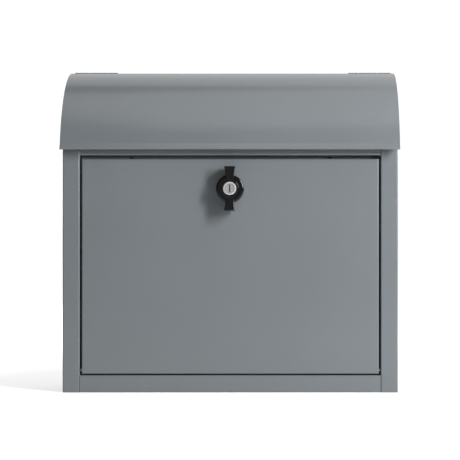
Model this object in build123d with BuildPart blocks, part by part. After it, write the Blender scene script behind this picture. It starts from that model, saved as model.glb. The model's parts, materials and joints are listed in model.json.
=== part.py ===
"""Wall mounted mailbox: a folded steel case, a curved lid hinged at the top rear, and a drop-down
door hinged at the bottom, closed by a winged quarter-turn knob with a key cylinder in its middle.

Frame: millimetres, +Z up, the wall plane is Y = 0 and the front faces -Y. The origin is the centre
of the four wall screw holes, on the wall plane.
"""
from build123d import *
import math
import os

# ---------------------------------------------------------------- driving dimensions
CASE_WIDTH = 370.0
CASE_DEPTH = 102.0
SHEET = 1.0
FOLD_RADIUS = 1.0                 # centre-line radius of every fold
BASE_Z = -150.0                   # underside of the case, below the screw pattern's centre

STILE_WIDTH = 19.0
RAIL_HEIGHT = 19.0
RETURN_DEPTH = 10.0               # how far the stile's return flange reaches in
REAR_FLANGE = 13.0

WALL_HOLE_RADIUS = 3.25
WALL_HOLE_SPACING_X = 260.0
WALL_HOLE_SPACING_Z = 180.0
DRAIN_RADIUS = 2.5
DRAIN_SPACING = 120.0

# lid
LID_ARC_RADIUS = 117.0            # outer face of the lid
LID_ARC_Y = -1.0
LID_ARC_Z = BASE_Z + 244.0
LID_OVERLAP = 1.4                 # how far the lid's outer face stands outside the case on each side
LIP_TOP_Z = BASE_Z + 274.0
LIP_BOTTOM_Z = BASE_Z + 268.5
LIP_FLARE_Y = -116.2
HEM_RADIUS = 1.25
SIDE_ARC_RADIUS = 114.5           # top edge of the side panels, just under the lid
CHEEK_REAR_Y = -6.0
CHEEK_REAR_Z = BASE_Z + 300.0
ROD_RADIUS = 1.5
RUNNING_FIT = 0.06
KNUCKLE_RADIUS = ROD_RADIUS + RUNNING_FIT + SHEET
HINGE_Y = -KNUCKLE_RADIUS
HINGE_Z = BASE_Z + 359.9
CASE_KNUCKLES = ((168.0, 184.0), (134.0, 146.0))   # stretches of X on each side of the middle
LID_KNUCKLES = ((146.0, 168.0),)
KNUCKLE_GAP = 0.6
KNUCKLE_CLEARANCE = 0.9
BACK_TOP_Z = BASE_Z + 358.3       # back panel's top edge, under the lid's rear edge
KNUCKLE_NOTCH_Z = BASE_Z + 356.9  # the same edge where it passes under the lid's knuckles
LEAF_REAR_Y = -1.0                # lid's rear edge between the hinges

# front top rail
TOP_RAIL_LOW = BASE_Z + 261.5
TOP_RAIL_HIGH = BASE_Z + 285.0
TOP_RAIL_DEPTH = 8.0
STOP_LIP_Y = -CASE_DEPTH + 14.0
STOP_LIP_Z = BASE_Z + 250.5

# door
DOOR_WIDTH = 328.0
DOOR_BOTTOM = BASE_Z + 20.4
DOOR_TOP = BASE_Z + 257.9
DOOR_DEPTH = 12.0
DOOR_CORNER = 1.5
PIN_RADIUS = 1.5
PIN_HEAD_RADIUS = 2.0
PIN_HEAD = 1.2
PIN_END = 170.0
PIN_Y = -CASE_DEPTH + 3.5
PIN_Z = BASE_Z + 24.5
BUSH_RADIUS = 2.2
BUSH_FLANGE_RADIUS = 3.0
BUSH_FLANGE = 0.8
BUMPER_RADIUS = 4.0
BUMPER_SPACING = 220.0
REST_GAP = 0.3
BUFFER_RADIUS = 4.0
BUFFER_Z = BASE_Z + 278.0

# lock: every depth is a Y position, set out from the door's face
LOCK_Z = BASE_Z + 224.5
DOOR_FACE = -CASE_DEPTH
HOUSING_FACE = DOOR_FACE - 23.0
PLUG_FACE = DOOR_FACE - 22.4
KNOB_FACE = DOOR_FACE - 22.0
WING_FACE = DOOR_FACE - 21.0
PLUG_STEP = DOOR_FACE - 20.6
HOUSING_BACK = DOOR_FACE - 6.0
BOSS_BACK = DOOR_FACE - 5.0
ROSETTE_FACE = DOOR_FACE - 4.5
BOLT_FACE = DOOR_FACE - 3.7
PLUG_BACK = DOOR_FACE - 2.2
PLUG_BORE_FLOOR = DOOR_FACE - 2.0
HUB_BACK = DOOR_FACE - 1.3
BARREL_FLANGE_FACE = DOOR_FACE - 1.0
PLATE_BACK = DOOR_FACE + 2.2
WASHER_BACK = DOOR_FACE + 3.2
NUT_BACK = DOOR_FACE + 7.7
CAM_SCREW_TIP = DOOR_FACE + 8.0
BARREL_BACK = DOOR_FACE + 13.5
SPINDLE_SHOULDER = DOOR_FACE + 15.0
SQUARE_BACK = DOOR_FACE + 17.3
CAM_BACK = DOOR_FACE + 17.5
CAM_WASHER_BACK = DOOR_FACE + 18.7
CAM_SCREW_BACK = DOOR_FACE + 21.5

ROSETTE_RADIUS = 15.5
ROSETTE_BORE = 9.5
HUB_RADIUS = 9.2
BOSS_RADIUS = 10.0
WING_HALF_LENGTH = 24.4
WING_END_HALF_WIDTH = 6.2
WING_WAIST = 14.0
WING_WAIST_HALF_WIDTH = 4.5
WING_ROOT_HALF_WIDTH = 4.7
KNOB_EDGE = 1.0
HOUSING_RADIUS = 7.2
PLUG_RADIUS = 5.5
PLUG_BORE = PLUG_RADIUS + 0.05
PLUG_FACE_RADIUS = 5.0
KEYWAY_WIDTH = 1.3
KEYWAY_HEIGHT = 8.4
BARREL_RADIUS = 9.0
BARREL_FLANGE_RADIUS = 12.0
SPINDLE_RADIUS = 6.0
SPINDLE_BORE = SPINDLE_RADIUS + 0.05
SPINDLE_SQUARE = 7.0
CAM_HUB_RADIUS = 9.0
CAM_TIP_RADIUS = 6.5
CAM_REACH = 33.0
CAM_WASHER_RADIUS = 6.0
CAM_SCREW_RADIUS = 2.0
CAM_SCREW_HEAD_RADIUS = 4.5
PLATE_WIDTH = 70.0
PLATE_HEIGHT = 46.0
LOCK_WASHER_RADIUS = 13.0
NUT_RADIUS = 13.8
BOLT_INNER = 5.9
BOLT_OUTER = 9.1
BOLT_TRAVEL = 1.6
BOLT_WIDTH = 3.0
SLOT_PLAY = 0.3
WAFERS = 5
WAFER_PITCH = 2.6
FIRST_WAFER_Y = DOOR_FACE - 17.5
WAFER_THICKNESS = 0.8
WAFER_WIDTH = 5.4
WAFER_HEIGHT = 8.8
WAFER_WINDOW_WIDTH = 1.9
WAFER_WINDOW_HEIGHT = 7.4
SPRING_RADIUS = 0.5
SPRING_LENGTH = 4.0
SPRING_X = 3.4

# ---------------------------------------------------------------- sizes that follow
HALF_CASE = CASE_WIDTH / 2
HALF_INSIDE = HALF_CASE - SHEET
HALF_OPENING = HALF_CASE - STILE_WIDTH
HALF_LID = HALF_CASE + LID_OVERLAP
HALF_DOOR = DOOR_WIDTH / 2
FRONT_MID = -CASE_DEPTH + SHEET / 2            # middle of the front sheet
FRONT_INNER = -CASE_DEPTH + SHEET
REAR_INNER = -SHEET                            # back panel's inner face
LID_MID_RADIUS = LID_ARC_RADIUS - SHEET / 2
BOLT_BACK = PLUG_BACK
SIDEWAYS = (0, 90, 0)                          # turns a cylinder's axis from Z to X
FRONTWARDS = (90, 0, 0)                        # turns a cylinder's axis from Z to Y


def arc_height(radius, y):
    """Height of a circle about the lid's centre where it passes over y."""
    return LID_ARC_Z + math.sqrt(radius ** 2 - (y - LID_ARC_Y) ** 2)


def arc_depth(radius, z):
    """Y of the front of a circle about the lid's centre at height z."""
    return LID_ARC_Y - math.sqrt(radius ** 2 - (z - LID_ARC_Z) ** 2)


def folded_section(plane, corners):
    """Section of a folded sheet, from the corners of its centre line."""
    with BuildSketch(plane) as section:
        with BuildLine():
            FilletPolyline(*corners, radius=FOLD_RADIUS)
        trace(line_width=SHEET)
    return section.sketch


def lock_plane(y):
    """Plane facing the front at depth y, centred on the lock."""
    return Plane(origin=(0, y, LOCK_Z), x_dir=(1, 0, 0), z_dir=(0, -1, 0))


def disc(radius, back, face, mode=Mode.ADD):
    """A round stretch on the lock's axis, from its back depth to its face depth."""
    with BuildSketch(lock_plane(back)) as section:
        Circle(radius)
    extrude(section.sketch, amount=back - face, mode=mode)


def save(builder, name):
    """Label one finished piece and write its STEP file."""
    builder.part.label = name
    export_step(builder.part, f"parts/{name}.step")


def both_sides(stretches):
    """Each stretch of X and its mirror image, as (low, high)."""
    return list(stretches) + [(-high, -low) for low, high in stretches]


def knuckles(stretches, bore):
    """Add the rolled knuckles of one hinge leaf and clear the rod's bore through them."""
    for low, high in both_sides(stretches):
        with BuildSketch(Plane.YZ.offset(low + KNUCKLE_GAP / 2)) as section:
            with Locations((HINGE_Y, HINGE_Z)):
                Circle(KNUCKLE_RADIUS)
        extrude(section.sketch, amount=high - low - KNUCKLE_GAP)
        with Locations(((low + high) / 2, HINGE_Y, HINGE_Z)):
            Cylinder(bore, high - low, rotation=SIDEWAYS, mode=Mode.SUBTRACT)


def cut_back(stretches, front, low_z):
    """Cut a leaf away behind a depth and above a height, over some stretches of X."""
    for low, high in stretches:
        with Locations(((low + high) / 2, front + CASE_DEPTH / 2, low_z + CASE_DEPTH / 2)):
            Box(high - low, CASE_DEPTH, CASE_DEPTH, mode=Mode.SUBTRACT)


os.makedirs("parts", exist_ok=True)

# ---------------------------------------------------------------- case
with BuildPart() as back_panel:
    with BuildSketch(Plane.XY.offset(BASE_Z)):
        with Locations((0, -SHEET / 2)):
            Rectangle(CASE_WIDTH, SHEET)
    extrude(amount=HINGE_Z - BASE_Z)
    middle = (-CASE_KNUCKLES[1][0], CASE_KNUCKLES[1][0])
    cut_back([middle], -CASE_DEPTH / 2, BACK_TOP_Z)
    cut_back(both_sides(LID_KNUCKLES), -CASE_DEPTH / 2, KNUCKLE_NOTCH_Z)
    knuckles(CASE_KNUCKLES, ROD_RADIUS)
    with Locations((0, -SHEET / 2, 0)):
        with Locations(Plane.XZ):
            with GridLocations(WALL_HOLE_SPACING_X, WALL_HOLE_SPACING_Z, 2, 2):
                Cylinder(WALL_HOLE_RADIUS, 4 * SHEET, mode=Mode.SUBTRACT)
save(back_panel, "back_panel")

side_top = arc_height(SIDE_ARC_RADIUS, -CASE_DEPTH)
with BuildPart() as right_side_panel:
    outline = folded_section(
        Plane.XY.offset(BASE_Z),
        [
            (HALF_OPENING + SHEET / 2, -CASE_DEPTH + RETURN_DEPTH),
            (HALF_OPENING + SHEET / 2, FRONT_MID),
            (HALF_CASE - SHEET / 2, FRONT_MID),
            (HALF_CASE - SHEET / 2, REAR_INNER - SHEET / 2),
            (HALF_CASE - REAR_FLANGE, REAR_INNER - SHEET / 2),
        ],
    )
    extrude(outline, amount=side_top - BASE_Z)
    with BuildSketch(Plane.YZ.offset(HALF_INSIDE)):
        with BuildLine():
            crest = (REAR_INNER, arc_height(SIDE_ARC_RADIUS, REAR_INNER))
            middle_y = -CASE_DEPTH * 0.6
            ThreePointArc(
                (-CASE_DEPTH, side_top),
                (middle_y, arc_height(SIDE_ARC_RADIUS, middle_y)),
                crest,
            )
            Polyline(crest, (crest[0], side_top), (-CASE_DEPTH, side_top))
        make_face()
    extrude(amount=SHEET)
    with Locations((0, (FRONT_INNER + REAR_INNER) / 2, BASE_Z + SHEET / 2)):
        Box(2 * HALF_INSIDE, REAR_INNER - FRONT_INNER, SHEET, mode=Mode.SUBTRACT)
    with Locations((HALF_OPENING + SHEET / 2, PIN_Y, PIN_Z)):
        Cylinder(BUSH_RADIUS, 2 * SHEET, rotation=SIDEWAYS, mode=Mode.SUBTRACT)
save(right_side_panel, "right_side_panel")

with BuildPart() as left_side_panel:
    mirror(right_side_panel.part, about=Plane.YZ)
save(left_side_panel, "left_side_panel")

with BuildPart() as bottom_panel:
    outline = folded_section(
        Plane.YZ,
        [
            (-CASE_DEPTH + TOP_RAIL_DEPTH, BASE_Z + RAIL_HEIGHT - SHEET / 2),
            (FRONT_MID, BASE_Z + RAIL_HEIGHT - SHEET / 2),
            (FRONT_MID, BASE_Z + SHEET / 2),
            (REAR_INNER - SHEET / 2, BASE_Z + SHEET / 2),
            (REAR_INNER - SHEET / 2, BASE_Z + REAR_FLANGE),
        ],
    )
    extrude(outline, amount=HALF_OPENING, both=True)
    wing_width = HALF_INSIDE - HALF_OPENING
    for side in (-1, 1):
        with Locations((side * (HALF_OPENING + wing_width / 2), (FRONT_INNER + REAR_INNER) / 2,
                        BASE_Z + SHEET / 2)):
            Box(wing_width, REAR_INNER - FRONT_INNER, SHEET)
    with Locations((0, -CASE_DEPTH / 2, BASE_Z)):
        with GridLocations(DRAIN_SPACING, 1, 3, 1):
            Cylinder(DRAIN_RADIUS, 4 * SHEET, mode=Mode.SUBTRACT)
save(bottom_panel, "bottom_panel")

with BuildPart() as front_top_rail:
    outline = folded_section(
        Plane.YZ,
        [
            (-CASE_DEPTH + TOP_RAIL_DEPTH, TOP_RAIL_HIGH - SHEET / 2),
            (FRONT_MID, TOP_RAIL_HIGH - SHEET / 2),
            (FRONT_MID, TOP_RAIL_LOW + SHEET / 2),
            (STOP_LIP_Y, TOP_RAIL_LOW + SHEET / 2),
            (STOP_LIP_Y, STOP_LIP_Z),
        ],
    )
    extrude(outline, amount=HALF_OPENING, both=True)
save(front_top_rail, "front_top_rail")

rod_low = CASE_KNUCKLES[1][0]
rod_high = CASE_KNUCKLES[0][1] - KNUCKLE_GAP / 2
with BuildPart() as lid_hinge_rods:
    for side in (-1, 1):
        with Locations((side * (rod_low + rod_high) / 2, HINGE_Y, HINGE_Z)):
            Cylinder(ROD_RADIUS, rod_high - rod_low, rotation=SIDEWAYS)
save(lid_hinge_rods, "lid_hinge_rods")

with BuildPart() as door_hinge_bushes:
    for side in (-1, 1):
        with Locations((side * (HALF_OPENING - BUSH_FLANGE / 2), PIN_Y, PIN_Z)):
            Cylinder(BUSH_FLANGE_RADIUS, BUSH_FLANGE, rotation=SIDEWAYS)
        with Locations((side * (HALF_OPENING + SHEET * 0.75), PIN_Y, PIN_Z)):
            Cylinder(BUSH_RADIUS, SHEET * 1.5, rotation=SIDEWAYS)
    with Locations((0, PIN_Y, PIN_Z)):
        Cylinder(PIN_RADIUS + RUNNING_FIT, CASE_WIDTH, rotation=SIDEWAYS, mode=Mode.SUBTRACT)
save(door_hinge_bushes, "door_hinge_bushes")

stop_face = STOP_LIP_Y - SHEET / 2
bumper_face = -CASE_DEPTH + DOOR_DEPTH + REST_GAP
with BuildPart() as door_stop_bumpers:
    with Locations((0, (bumper_face + stop_face) / 2, DOOR_TOP - BUMPER_RADIUS / 2)):
        with GridLocations(BUMPER_SPACING, 1, 2, 1):
            Cylinder(BUMPER_RADIUS, stop_face - bumper_face, rotation=FRONTWARDS)
save(door_stop_bumpers, "door_stop_bumpers")

buffer_face = arc_depth(LID_ARC_RADIUS - SHEET, BUFFER_Z + BUFFER_RADIUS) + REST_GAP
with BuildPart() as lid_rest_buffers:
    with Locations((0, (buffer_face - CASE_DEPTH) / 2, BUFFER_Z)):
        with GridLocations(BUMPER_SPACING, 1, 2, 1):
            Cylinder(BUFFER_RADIUS, -CASE_DEPTH - buffer_face, rotation=FRONTWARDS)
    fillet(lid_rest_buffers.faces().filter_by(Axis.Y).group_by(Axis.Y)[0].edges(), SHEET)
save(lid_rest_buffers, "lid_rest_buffers")

# ---------------------------------------------------------------- lid
lip_top = (arc_depth(LID_MID_RADIUS, LIP_TOP_Z), LIP_TOP_Z)
lip_bottom = (LIP_FLARE_Y, LIP_BOTTOM_Z)
leaf_end = (LEAF_REAR_Y, arc_height(LID_MID_RADIUS, LEAF_REAR_Y))
arc_middle_y = LID_ARC_Y - LID_MID_RADIUS * math.sin(math.radians(45))
arc_middle = (arc_middle_y, arc_height(LID_MID_RADIUS, arc_middle_y))
with BuildPart() as lid_shell:
    with BuildSketch(Plane.YZ):
        with BuildLine():
            ThreePointArc(leaf_end, arc_middle, lip_top)
            Line(lip_top, lip_bottom)
        trace(line_width=SHEET)
        with Locations(lip_bottom):
            Circle(HEM_RADIUS)
    extrude(amount=HALF_LID, both=True)
    cut_back(both_sides(LID_KNUCKLES), HINGE_Y, LIP_TOP_Z)
    ends = ((CASE_KNUCKLES[0][0] - KNUCKLE_GAP / 2, HALF_LID + SHEET),)
    inner = ((CASE_KNUCKLES[1][0] - KNUCKLE_GAP / 2, CASE_KNUCKLES[1][1] + KNUCKLE_GAP / 2),)
    cut_back(both_sides(ends + inner), HINGE_Y - KNUCKLE_RADIUS - KNUCKLE_CLEARANCE, LIP_TOP_Z)
    knuckles(LID_KNUCKLES, ROD_RADIUS + RUNNING_FIT)
save(lid_shell, "lid_shell")

with BuildPart() as right_lid_cheek:
    with BuildSketch(Plane.YZ.offset(HALF_LID - SHEET)):
        with BuildLine():
            rear_top = (CHEEK_REAR_Y, arc_height(LID_MID_RADIUS, CHEEK_REAR_Y))
            ThreePointArc(rear_top, arc_middle, lip_top)
            Polyline(lip_top, lip_bottom, (CHEEK_REAR_Y, CHEEK_REAR_Z), rear_top)
        make_face()
    extrude(amount=SHEET)
    add(lid_shell.part, mode=Mode.SUBTRACT)
save(right_lid_cheek, "right_lid_cheek")

with BuildPart() as left_lid_cheek:
    mirror(right_lid_cheek.part, about=Plane.YZ)
save(left_lid_cheek, "left_lid_cheek")

# ---------------------------------------------------------------- door
door_height = DOOR_TOP - DOOR_BOTTOM
with BuildPart() as door_panel:
    with Locations((0, -CASE_DEPTH + DOOR_DEPTH / 2, (DOOR_TOP + DOOR_BOTTOM) / 2)):
        Box(DOOR_WIDTH, DOOR_DEPTH, door_height)
    fillet(door_panel.faces().sort_by(Axis.Y)[0].edges(), DOOR_CORNER)
    offset(amount=-SHEET, openings=door_panel.faces().sort_by(Axis.Y)[-1])
    disc(BARREL_RADIUS, FRONT_INNER + SHEET, DOOR_FACE - SHEET, mode=Mode.SUBTRACT)
    with Locations((0, PIN_Y, PIN_Z)):
        Cylinder(PIN_RADIUS, CASE_WIDTH, rotation=SIDEWAYS, mode=Mode.SUBTRACT)
save(door_panel, "door_panel")

with BuildPart() as door_hinge_pins:
    head_inner = HALF_DOOR - SHEET - PIN_HEAD
    for side in (-1, 1):
        with Locations((side * (head_inner + PIN_HEAD / 2), PIN_Y, PIN_Z)):
            Cylinder(PIN_HEAD_RADIUS, PIN_HEAD, rotation=SIDEWAYS)
        with Locations((side * (head_inner + PIN_END) / 2, PIN_Y, PIN_Z)):
            Cylinder(PIN_RADIUS, PIN_END - head_inner, rotation=SIDEWAYS)
save(door_hinge_pins, "door_hinge_pins")

with BuildPart() as lock_backing_plate:
    with BuildSketch(lock_plane(PLATE_BACK)):
        RectangleRounded(PLATE_WIDTH, PLATE_HEIGHT, KNOB_EDGE * 3)
        Circle(BARREL_RADIUS, mode=Mode.SUBTRACT)
    extrude(amount=PLATE_BACK - FRONT_INNER)
save(lock_backing_plate, "lock_backing_plate")

with BuildPart() as lock_washer:
    disc(LOCK_WASHER_RADIUS, WASHER_BACK, PLATE_BACK)
    disc(BARREL_RADIUS, WASHER_BACK, PLATE_BACK, mode=Mode.SUBTRACT)
save(lock_washer, "lock_washer")

with BuildPart() as lock_nut:
    with BuildSketch(lock_plane(NUT_BACK)):
        RegularPolygon(NUT_RADIUS, 6)
        Circle(BARREL_RADIUS, mode=Mode.SUBTRACT)
    extrude(amount=NUT_BACK - WASHER_BACK)
save(lock_nut, "lock_nut")

with BuildPart() as lock_rosette:
    disc(ROSETTE_RADIUS, DOOR_FACE, ROSETTE_FACE)
    fillet(lock_rosette.faces().sort_by(Axis.Y)[0].edges(), 2 * KNOB_EDGE)
    disc(ROSETTE_BORE, DOOR_FACE, ROSETTE_FACE, mode=Mode.SUBTRACT)
    disc(BARREL_FLANGE_RADIUS, DOOR_FACE, BARREL_FLANGE_FACE, mode=Mode.SUBTRACT)
    notch_length = BOLT_OUTER + BOLT_TRAVEL + SLOT_PLAY
    notch_back = BOLT_BACK + SLOT_PLAY
    for turn in (180, 270):
        with BuildSketch(lock_plane(notch_back)):
            with PolarLocations(notch_length / 2, 1, start_angle=turn):
                Rectangle(notch_length, BOLT_WIDTH + 2 * SLOT_PLAY)
        extrude(amount=notch_back - ROSETTE_FACE, mode=Mode.SUBTRACT)
save(lock_rosette, "lock_rosette")

with BuildPart() as lock_barrel:
    disc(BARREL_FLANGE_RADIUS, DOOR_FACE, BARREL_FLANGE_FACE)
    disc(BARREL_RADIUS, BARREL_BACK, DOOR_FACE)
    disc(SPINDLE_BORE, BARREL_BACK, BARREL_FLANGE_FACE, mode=Mode.SUBTRACT)
save(lock_barrel, "lock_barrel")

# ---------------------------------------------------------------- knob and what turns with it
with BuildPart() as wing_knob:
    with BuildSketch(lock_plane(BOSS_BACK)):
        with BuildLine():
            Line((-WING_END_HALF_WIDTH, WING_HALF_LENGTH), (WING_END_HALF_WIDTH, WING_HALF_LENGTH))
            for side in (-1, 1):
                ThreePointArc(
                    (side * WING_END_HALF_WIDTH, WING_HALF_LENGTH),
                    (side * WING_WAIST_HALF_WIDTH, WING_WAIST),
                    (side * WING_ROOT_HALF_WIDTH, 0),
                )
            Line((-WING_ROOT_HALF_WIDTH, 0), (WING_ROOT_HALF_WIDTH, 0))
        make_face()
        mirror(about=Plane.XZ)
    extrude(amount=BOSS_BACK - WING_FACE)
    fillet(wing_knob.faces().sort_by(Axis.Y)[0].edges(), KNOB_EDGE)
    disc(BOSS_RADIUS, BOSS_BACK, KNOB_FACE)
    fillet(wing_knob.faces().sort_by(Axis.Y)[0].edges(), KNOB_EDGE / 2)
    disc(HUB_RADIUS, HUB_BACK, BOSS_BACK)
    disc(HOUSING_RADIUS, HOUSING_BACK, HOUSING_FACE, mode=Mode.SUBTRACT)
    disc(PLUG_BORE, PLUG_BORE_FLOOR, HOUSING_BACK, mode=Mode.SUBTRACT)
    slot_start = -BOLT_OUTER - SLOT_PLAY
    with Locations(((slot_start - BOLT_INNER + SLOT_PLAY) / 2, (BOLT_FACE + BOLT_BACK) / 2, LOCK_Z)):
        slot_depth = BOLT_BACK - BOLT_FACE + 2 * RUNNING_FIT
        slot_width = BOLT_WIDTH + 2 * RUNNING_FIT
        Box(BOLT_OUTER - BOLT_INNER + 2 * SLOT_PLAY, slot_depth, slot_width, mode=Mode.SUBTRACT)
save(wing_knob, "wing_knob")

with BuildPart() as lock_housing:
    disc(HOUSING_RADIUS, HOUSING_BACK, HOUSING_FACE)
    chamfer(lock_housing.faces().sort_by(Axis.Y)[0].edges(), KNOB_EDGE / 2)
    disc(PLUG_BORE, HOUSING_BACK, HOUSING_FACE, mode=Mode.SUBTRACT)
save(lock_housing, "lock_housing")

with BuildPart() as knob_spindle:
    disc(SPINDLE_RADIUS, SPINDLE_SHOULDER, HUB_BACK)
    with BuildSketch(lock_plane(SQUARE_BACK)):
        Rectangle(SPINDLE_SQUARE, SPINDLE_SQUARE)
    extrude(amount=SQUARE_BACK - SPINDLE_SHOULDER)
    disc(CAM_SCREW_RADIUS, SQUARE_BACK, CAM_SCREW_TIP, mode=Mode.SUBTRACT)
save(knob_spindle, "knob_spindle")

with BuildPart() as lock_cam:
    with BuildSketch(lock_plane(CAM_BACK)):
        Circle(CAM_HUB_RADIUS)
        with Locations((CAM_REACH, 0)):
            Circle(CAM_TIP_RADIUS)
        make_hull()
        Rectangle(SPINDLE_SQUARE, SPINDLE_SQUARE, mode=Mode.SUBTRACT)
    extrude(amount=CAM_BACK - SPINDLE_SHOULDER)
save(lock_cam, "lock_cam")

with BuildPart() as cam_washer:
    disc(CAM_WASHER_RADIUS, CAM_WASHER_BACK, CAM_BACK)
    disc(CAM_SCREW_RADIUS, CAM_WASHER_BACK, CAM_BACK, mode=Mode.SUBTRACT)
save(cam_washer, "cam_washer")

with BuildPart() as cam_screw:
    disc(CAM_SCREW_RADIUS, CAM_WASHER_BACK, CAM_SCREW_TIP)
    disc(CAM_SCREW_HEAD_RADIUS, CAM_SCREW_BACK, CAM_WASHER_BACK)
    fillet(cam_screw.faces().sort_by(Axis.Y)[-1].edges(), KNOB_EDGE)
    for width, height in ((SHEET, 2 * KNOB_EDGE * 3), (2 * KNOB_EDGE * 3, SHEET)):
        with BuildSketch(lock_plane(CAM_SCREW_BACK)):
            Rectangle(width, height)
        extrude(amount=1.5 * SHEET, mode=Mode.SUBTRACT)
save(cam_screw, "cam_screw")

# ---------------------------------------------------------------- key plug and locking bolt
wafer_ys = [FIRST_WAFER_Y + i * WAFER_PITCH for i in range(WAFERS)]
with BuildPart() as lock_plug:
    disc(PLUG_RADIUS, PLUG_BACK, PLUG_STEP)
    disc(PLUG_FACE_RADIUS, PLUG_STEP, PLUG_FACE)
    chamfer(lock_plug.faces().sort_by(Axis.Y)[0].edges(), SHEET / 5)
    with BuildSketch(lock_plane(HOUSING_BACK)):
        Rectangle(KEYWAY_WIDTH, KEYWAY_HEIGHT)
    extrude(amount=HOUSING_BACK - PLUG_FACE, mode=Mode.SUBTRACT)
    for wafer_y in wafer_ys:
        with Locations((0, wafer_y, LOCK_Z)):
            Box(WAFER_WIDTH, WAFER_THICKNESS, WAFER_HEIGHT, mode=Mode.SUBTRACT)
        with Locations((SPRING_X, wafer_y, LOCK_Z)):
            Cylinder(SPRING_RADIUS, SPRING_LENGTH, mode=Mode.SUBTRACT)
save(lock_plug, "lock_plug")

with BuildPart() as wafer_tumblers:
    for wafer_y in wafer_ys:
        with Locations((0, wafer_y, LOCK_Z)):
            Box(WAFER_WIDTH, WAFER_THICKNESS, WAFER_HEIGHT)
            Box(WAFER_WINDOW_WIDTH, WAFER_THICKNESS, WAFER_WINDOW_HEIGHT, mode=Mode.SUBTRACT)
save(wafer_tumblers, "wafer_tumblers")

with BuildPart() as wafer_springs:
    for wafer_y in wafer_ys:
        with Locations((SPRING_X, wafer_y, LOCK_Z)):
            Cylinder(SPRING_RADIUS, SPRING_LENGTH)
save(wafer_springs, "wafer_springs")

with BuildPart() as locking_bolt:
    with Locations((-(BOLT_INNER + BOLT_OUTER) / 2, (BOLT_FACE + BOLT_BACK) / 2, LOCK_Z)):
        Box(BOLT_OUTER - BOLT_INNER, BOLT_BACK - BOLT_FACE, BOLT_WIDTH)
save(locking_bolt, "locking_bolt")
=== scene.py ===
"""Wall mounted mailbox: looks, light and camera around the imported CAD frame."""
import json
import math

import bpy
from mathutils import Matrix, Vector


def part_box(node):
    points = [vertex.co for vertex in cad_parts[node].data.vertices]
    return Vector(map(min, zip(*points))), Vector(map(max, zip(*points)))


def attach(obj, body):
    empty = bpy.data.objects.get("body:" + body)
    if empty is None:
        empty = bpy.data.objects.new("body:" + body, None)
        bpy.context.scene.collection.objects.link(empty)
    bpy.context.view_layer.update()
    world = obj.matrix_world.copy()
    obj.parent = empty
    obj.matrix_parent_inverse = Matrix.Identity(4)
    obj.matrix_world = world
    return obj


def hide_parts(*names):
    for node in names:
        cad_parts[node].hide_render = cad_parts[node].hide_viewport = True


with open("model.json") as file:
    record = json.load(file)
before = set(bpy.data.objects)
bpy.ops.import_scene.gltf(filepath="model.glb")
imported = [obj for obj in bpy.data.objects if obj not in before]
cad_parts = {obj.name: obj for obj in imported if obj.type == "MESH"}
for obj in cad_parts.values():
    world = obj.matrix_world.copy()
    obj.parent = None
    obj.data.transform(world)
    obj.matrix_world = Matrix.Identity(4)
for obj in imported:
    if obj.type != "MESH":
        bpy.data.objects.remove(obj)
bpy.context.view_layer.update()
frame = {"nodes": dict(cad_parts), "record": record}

MM = 0.001
NODES = frame["nodes"]
CASE_LOW = Vector(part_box("right_side_panel")[0])
FLOOR_Z = CASE_LOW.z
FRONT_Y = CASE_LOW.y

# ---------------------------------------------------------------- camera
CAMERA_DISTANCE = 1.75            # metres in front of the case
CAMERA_RIGHT = 0.0557
CAMERA_ABOVE_ORIGIN = 0.0292
SENSOR = 36.0                     # millimetres, as the lens is
LENS = 124.2
SHIFT_X = -0.1103


def make_camera():
    """A long lens, level, right of the middle, with the box kept in frame by shift."""
    data = bpy.data.cameras.new("camera")
    data.sensor_width = SENSOR
    data.lens = LENS
    data.shift_x = SHIFT_X
    camera = bpy.data.objects.new("camera", data)
    camera.location = (CAMERA_RIGHT, FRONT_Y - CAMERA_DISTANCE, CAMERA_ABOVE_ORIGIN)
    camera.rotation_euler = (math.radians(90), 0, 0)
    bpy.context.scene.collection.objects.link(camera)
    bpy.context.scene.camera = camera


# ---------------------------------------------------------------- node material helpers
RAMP_LOW = 0.3                    # where the darker and the lighter tint of a grain begin
RAMP_HIGH = 0.7


def new_material(name):
    material = bpy.data.materials.new(name)
    material.use_nodes = True
    tree = material.node_tree
    return material, tree, tree.nodes["Principled BSDF"]


def add(tree, kind, **settings):
    """A node with its plain properties and input defaults set."""
    node = tree.nodes.new(kind)
    for key, value in settings.items():
        if key in node.inputs:
            node.inputs[key].default_value = value
        else:
            setattr(node, key, value)
    return node


def noise(tree, scale, detail, stretch=(1, 1, 1)):
    """Noise in object space, so it is in step with real size; stretch squeezes it along an axis."""
    place = add(tree, "ShaderNodeTexCoord")
    mapping = add(tree, "ShaderNodeMapping", Scale=stretch)
    texture = add(tree, "ShaderNodeTexNoise", Scale=scale, Detail=detail)
    tree.links.new(place.outputs["Object"], mapping.inputs["Vector"])
    tree.links.new(mapping.outputs["Vector"], texture.inputs["Vector"])
    return texture.outputs["Fac"]


def tint(tree, shader, grain, colour, darkest, lightest):
    """Base colour that follows the grain between a darker and a lighter shade."""
    node = add(tree, "ShaderNodeValToRGB")
    ends = zip(node.color_ramp.elements, (RAMP_LOW, RAMP_HIGH), (darkest, lightest))
    for element, position, factor in ends:
        element.position = position
        element.color = (*(channel * factor for channel in colour), 1)
    tree.links.new(grain, node.inputs["Fac"])
    tree.links.new(node.outputs["Color"], shader.inputs["Base Color"])


def spread(tree, value, low, high):
    """Map 0..1 onto low..high."""
    node = add(tree, "ShaderNodeMapRange")
    node.inputs["To Min"].default_value = low
    node.inputs["To Max"].default_value = high
    tree.links.new(value, node.inputs["Value"])
    return node.outputs["Result"]


def bump(tree, height, distance, strength, under=None):
    node = add(tree, "ShaderNodeBump", Distance=distance, Strength=strength)
    tree.links.new(height, node.inputs["Height"])
    if under is not None:
        tree.links.new(under, node.inputs["Normal"])
    return node.outputs["Normal"]


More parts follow.
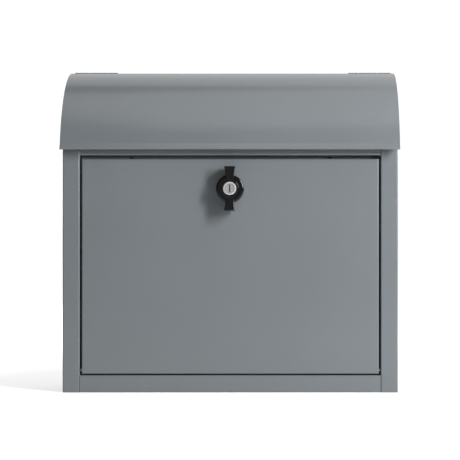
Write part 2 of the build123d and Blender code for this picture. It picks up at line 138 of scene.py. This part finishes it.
# ---------------------------------------------------------------- materials
GREY = (0.178, 0.198, 0.212)
ZINC = (0.62, 0.62, 0.6)
BLACK_ENAMEL = (0.003, 0.003, 0.0035)
CHROME = (0.95, 0.95, 0.95)
NICKEL = (0.66, 0.65, 0.63)
# brass darkened well below its own colour: painted shade for the wafers deep in the keyway
BRASS_DARKENED_AS_KEYWAY_SHADE = (0.05, 0.035, 0.015)
SPRING_STEEL = (0.5, 0.5, 0.5)
NYLON = (0.03, 0.03, 0.03)
RUBBER = (0.02, 0.02, 0.02)
PLUG_BRUSHING = (1, 1, 8)


def powder_coat():
    """Satin polyester powder coat: faint clouding, fine orange peel and a tighter grain."""
    material, tree, shader = new_material("grey_powder_coat")
    clouds = noise(tree, scale=9.0, detail=3.0)
    tint(tree, shader, clouds, GREY, darkest=0.97, lightest=1.03)
    sheen = noise(tree, scale=60.0, detail=4.0)
    tree.links.new(spread(tree, sheen, low=0.33, high=0.4), shader.inputs["Roughness"])
    peel = noise(tree, scale=420.0, detail=2.0)
    grain = noise(tree, scale=1900.0, detail=2.0)
    peeled = bump(tree, peel, distance=0.05 * MM, strength=0.35)
    grained = bump(tree, grain, distance=0.02 * MM, strength=0.35, under=peeled)
    tree.links.new(grained, shader.inputs["Normal"])
    shader.inputs["Coat Weight"].default_value = 0.6
    shader.inputs["Coat IOR"].default_value = 1.75
    shader.inputs["Coat Roughness"].default_value = 0.2
    return material


def metal(name, colour, roughness, stretch=(1, 1, 1), scale=900.0, depth=0.01 * MM):
    """Bare or plated metal with brushed or cast grain along one axis."""
    material, tree, shader = new_material(name)
    grain = noise(tree, scale, detail=4.0, stretch=stretch)
    tint(tree, shader, grain, colour, darkest=0.9, lightest=1.05)
    dullness = spread(tree, grain, low=roughness * 0.8, high=roughness * 1.25)
    tree.links.new(dullness, shader.inputs["Roughness"])
    tree.links.new(bump(tree, grain, depth, strength=0.4), shader.inputs["Normal"])
    shader.inputs["Metallic"].default_value = 1.0
    return material


def coated(name, colour, roughness, coat):
    """Enamel, nylon or rubber: a dielectric with a fine moulded texture."""
    material, tree, shader = new_material(name)
    grain = noise(tree, scale=700.0, detail=3.0)
    tint(tree, shader, grain, colour, darkest=0.85, lightest=1.15)
    dullness = spread(tree, grain, low=roughness * 0.85, high=roughness * 1.15)
    tree.links.new(dullness, shader.inputs["Roughness"])
    tree.links.new(bump(tree, grain, distance=0.02 * MM, strength=0.5), shader.inputs["Normal"])
    shader.inputs["Coat Weight"].default_value = coat
    shader.inputs["Coat Roughness"].default_value = 0.08
    return material


def dress_nodes():
    """Give every CAD node the material of its record slot."""
    finishes = {
        "grey_powder_coat": powder_coat(),
        "zinc_steel": metal("zinc_steel", ZINC, roughness=0.32),
        "black_enamel": coated("black_enamel", BLACK_ENAMEL, roughness=0.14, coat=0.3),
        "chrome": metal("chrome", CHROME, roughness=0.48, scale=300.0, depth=0.004 * MM),
        "nickel_plug": metal("nickel_plug", NICKEL, roughness=0.44, stretch=PLUG_BRUSHING),
        # the wafers' brass carries painted shade, darkened to stand for the dark deep in the keyway
        "brass": metal("brass", BRASS_DARKENED_AS_KEYWAY_SHADE, roughness=0.6),
        "spring_steel": metal("spring_steel", SPRING_STEEL, roughness=0.3),
        "nylon": coated("nylon", NYLON, roughness=0.5, coat=0.0),
        "rubber": coated("rubber", RUBBER, roughness=0.75, coat=0.0),
    }
    slots = {part["node"]: part["material_slot"] for part in frame["record"]["subparts"]}
    for name, node in NODES.items():
        node.data.materials.clear()
        node.data.materials.append(finishes[slots[name]])
    return finishes


# ---------------------------------------------------------------- pieces finer than the CAD
THREAD_PITCH = 1.5 * MM
THREAD_DEPTH = 0.7 * MM
THREAD_STEP = 0.125 * MM
THREAD_RUN_IN = 8                 # full depth after an eighth of the length
THREAD_RUN_OUT = 16               # and until a sixteenth before its end
BARREL_SEGMENTS = 72
BARREL_RADIUS = 9.0 * MM
BARREL_BORE = 6.05 * MM
BARREL_FLANGE = 1.0 * MM
BARREL_SHARP = 70                 # degrees between faces above which an edge stays sharp
SPRINGS = 5
SPRING_TURNS = 7
SPRING_WIRE = 0.1 * MM            # radius
SPRING_SHARP = 60
STEPS_PER_TURN = 16
WIRE_POINTS = 8
EASED = 0.3 * MM
EASED_ABOVE = 50                  # degrees
LID_EASED = 0.42 * MM
LID_EASED_ABOVE = 60
BEVEL_SEGMENTS = 3
EASED_NODES = (
    "lock_cam",
    "lock_backing_plate",
    "lock_nut",
    "lock_washer",
    "cam_washer",
    "locking_bolt",
)


def ring_mesh(name, rings, closed):
    """Skin a list of equal rings of points; closed joins the last ring back to the first."""
    count = len(rings[0])
    verts = [point for ring in rings for point in ring]
    faces = []
    last = len(rings) if closed else len(rings) - 1
    for i in range(last):
        here = i * count
        there = (i + 1) % len(rings) * count
        for j in range(count):
            k = (j + 1) % count
            faces.append((here + j, here + k, there + k, there + j))
    if not closed:
        faces.append(tuple(range(count - 1, -1, -1)))
        faces.append(tuple(range(len(verts) - count, len(verts))))
    mesh = bpy.data.meshes.new(name)
    mesh.from_pydata(verts, [], faces)
    mesh.validate()
    obj = bpy.data.objects.new(name, mesh)
    bpy.context.scene.collection.objects.link(obj)
    return obj


def finish_piece(obj, slot, node, body, angle):
    """Give a new piece its finish and its body, in place of the CAD node it details."""
    obj.data.materials.append(FINISH[slot])
    for polygon in obj.data.polygons:
        polygon.use_smooth = True
    obj.data.set_sharp_from_angle(angle=math.radians(angle))
    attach(obj, body)
    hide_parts(node)


def make_barrel():
    """The lock's barrel with a real thread, running out at both ends."""
    low, high = (Vector(corner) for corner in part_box("lock_barrel"))
    centre = (low + high) / 2
    flange_radius = (high.x - low.x) / 2
    start = low.y + BARREL_FLANGE
    length = high.y - start

    def ring(radius, y, cut=0.0):
        points = []
        for j in range(BARREL_SEGMENTS):
            turn = j / BARREL_SEGMENTS
            phase = ((y - start) / THREAD_PITCH + turn) % 1.0
            r = radius - cut * (1 - abs(2 * phase - 1))
            angle = 2 * math.pi * turn
            points.append((centre.x + r * math.cos(angle), y, centre.z + r * math.sin(angle)))
        return points

    rings = [ring(BARREL_BORE, low.y), ring(flange_radius, low.y), ring(flange_radius, start)]
    steps = round(length / THREAD_STEP)
    for i in range(steps + 1):
        along = i / steps
        cut = THREAD_DEPTH * min(1.0, along * THREAD_RUN_IN, (1 - along) * THREAD_RUN_OUT)
        rings.append(ring(BARREL_RADIUS, start + length * along, cut))
    rings.append(ring(BARREL_BORE, high.y))
    barrel = ring_mesh("threaded_barrel", rings, closed=True)
    finish_piece(barrel, "zinc_steel", "lock_barrel", "door", BARREL_SHARP)


def make_springs():
    """One coil spring beside each wafer."""
    low, high = (Vector(corner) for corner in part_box("wafer_springs"))
    radius = (high.x - low.x) / 2
    coil = radius - SPRING_WIRE
    pitch = (high.y - low.y - 2 * radius) / (SPRINGS - 1)
    x = (low.x + high.x) / 2
    up = Vector((0, 0, 1))
    steps = SPRING_TURNS * STEPS_PER_TURN
    for i in range(SPRINGS):
        y = low.y + radius + i * pitch
        rings = []
        for k in range(steps + 1):
            angle = 2 * math.pi * k * SPRING_TURNS / steps
            out = Vector((math.cos(angle), math.sin(angle), 0))
            rise = SPRING_WIRE + (high.z - low.z - 2 * SPRING_WIRE) * k / steps
            middle = Vector((x, y, low.z + rise)) + out * coil
            ring = []
            for j in range(WIRE_POINTS):
                around = 2 * math.pi * j / WIRE_POINTS
                offset = out * math.cos(around) + up * math.sin(around)
                ring.append(tuple(middle + offset * SPRING_WIRE))
            rings.append(ring)
        spring = ring_mesh(f"wafer_spring_{i + 1}", rings, closed=False)
        finish_piece(spring, "spring_steel", "wafer_springs", "plug", SPRING_SHARP)


def ease(name, width, angle):
    """Round a CAD node's edges sharper than the angle, which never adds to its outline."""
    modifier = NODES[name].modifiers.new("eased", "BEVEL")
    modifier.width = width
    modifier.segments = BEVEL_SEGMENTS
    modifier.limit_method = "ANGLE"
    modifier.angle_limit = math.radians(angle)


def ease_edges():
    for name in EASED_NODES:
        ease(name, EASED, EASED_ABOVE)
    ease("lid_shell", LID_EASED, LID_EASED_ABOVE)


# ---------------------------------------------------------------- stage and light
FLOOR_REACH = 6.0
FLOOR_WHITE = (0.8, 0.8, 0.8, 1)
FLOOR_ROUGHNESS = 0.9
FLOOR_BOUNCED = 0.03              # glow that reaches the box
FLOOR_SEEN_NEAR = 0.52            # glow that the camera sees beside the box
FLOOR_SEEN_FAR = 1.1              # and away from it
NEAR = 0.32                       # metres from the origin where the seen glow begins to rise
FAR = 0.75
WORLD_BOUNCED = 0.03
WORLD_SEEN = 1.05
WHITE = (1, 1, 1, 1)


def seen_or_bounced(tree, bounced, seen):
    """A strength that differs between what is seen directly and what is bounced onto the box."""
    path = add(tree, "ShaderNodeLightPath")
    return spread(tree, path.outputs["Is Camera Ray"], bounced, seen)


def make_floor():
    """White floor, its glow a little lower round the box so the box's shadow still reads."""
    mesh = bpy.data.meshes.new("floor")
    signs = ((-1, -1), (1, -1), (1, 1), (-1, 1))
    corners = [(x * FLOOR_REACH, y * FLOOR_REACH, FLOOR_Z) for x, y in signs]
    mesh.from_pydata(corners, [], [(0, 1, 2, 3)])
    material, tree, shader = new_material("floor")
    shader.inputs["Base Color"].default_value = FLOOR_WHITE
    shader.inputs["Roughness"].default_value = FLOOR_ROUGHNESS
    shader.inputs["Emission Color"].default_value = WHITE
    place = add(tree, "ShaderNodeTexCoord")
    away = add(tree, "ShaderNodeVectorMath", operation="LENGTH")
    tree.links.new(place.outputs["Object"], away.inputs[0])
    seen = spread(tree, away.outputs["Value"], FLOOR_SEEN_NEAR, FLOOR_SEEN_FAR)
    seen.node.inputs["From Min"].default_value = NEAR
    seen.node.inputs["From Max"].default_value = FAR
    strength = seen_or_bounced(tree, FLOOR_BOUNCED, FLOOR_SEEN_FAR)
    tree.links.new(seen, strength.node.inputs["To Max"])
    tree.links.new(strength, shader.inputs["Emission Strength"])
    mesh.materials.append(material)
    floor = bpy.data.objects.new("floor", mesh)
    bpy.context.scene.collection.objects.link(floor)


def make_world():
    """A white cyclorama that adds only a little light of its own."""
    world = bpy.data.worlds.new("studio")
    world.use_nodes = True
    tree = world.node_tree
    background = tree.nodes["Background"]
    background.inputs["Color"].default_value = WHITE
    strength = seen_or_bounced(tree, WORLD_BOUNCED, WORLD_SEEN)
    tree.links.new(strength, background.inputs["Strength"])
    bpy.context.scene.world = world


def area_light(name, place, target, size, power, diffuse=True):
    data = bpy.data.lights.new(name, "AREA")
    data.shape = "RECTANGLE"
    data.size, data.size_y = size
    data.energy = power
    light = bpy.data.objects.new(name, data)
    light.location = place
    towards = Vector(target) - Vector(place)
    light.rotation_euler = towards.to_track_quat("-Z", "Y").to_euler()
    light.visible_diffuse = diffuse
    bpy.context.scene.collection.objects.link(light)


def make_lights():
    """A narrow key from the right, soft light above and behind, and a card for reflections."""
    area_light("key", place=(1.15, FRONT_Y - 1.07, 0.62), target=(0, FRONT_Y, 0.03),
               size=(0.26, 0.85), power=33.0)
    area_light("overhead", place=(0.1, -0.3, 1.5), target=(0, -0.05, 0.2),
               size=(1.2, 1.4), power=4.4)
    area_light("back_top", place=(0.1, 0.9, 1.0), target=(0, 0, 0.2),
               size=(2.2, 1.1), power=5.8)
    area_light("front_card", place=(-0.35, FRONT_Y - 2.0, 0.15), target=(0, FRONT_Y, 0.07),
               size=(0.7, 0.9), power=0.45, diffuse=False)
    area_light("rear_fill", place=(-1.3, 1.3, 0.5), target=(0, 0, 0),
               size=(0.9, 0.9), power=16.0)


make_camera()
FINISH = dress_nodes()
make_barrel()
make_springs()
ease_edges()
make_floor()
make_world()
make_lights()
bpy.context.scene.view_settings.view_transform = "Standard"
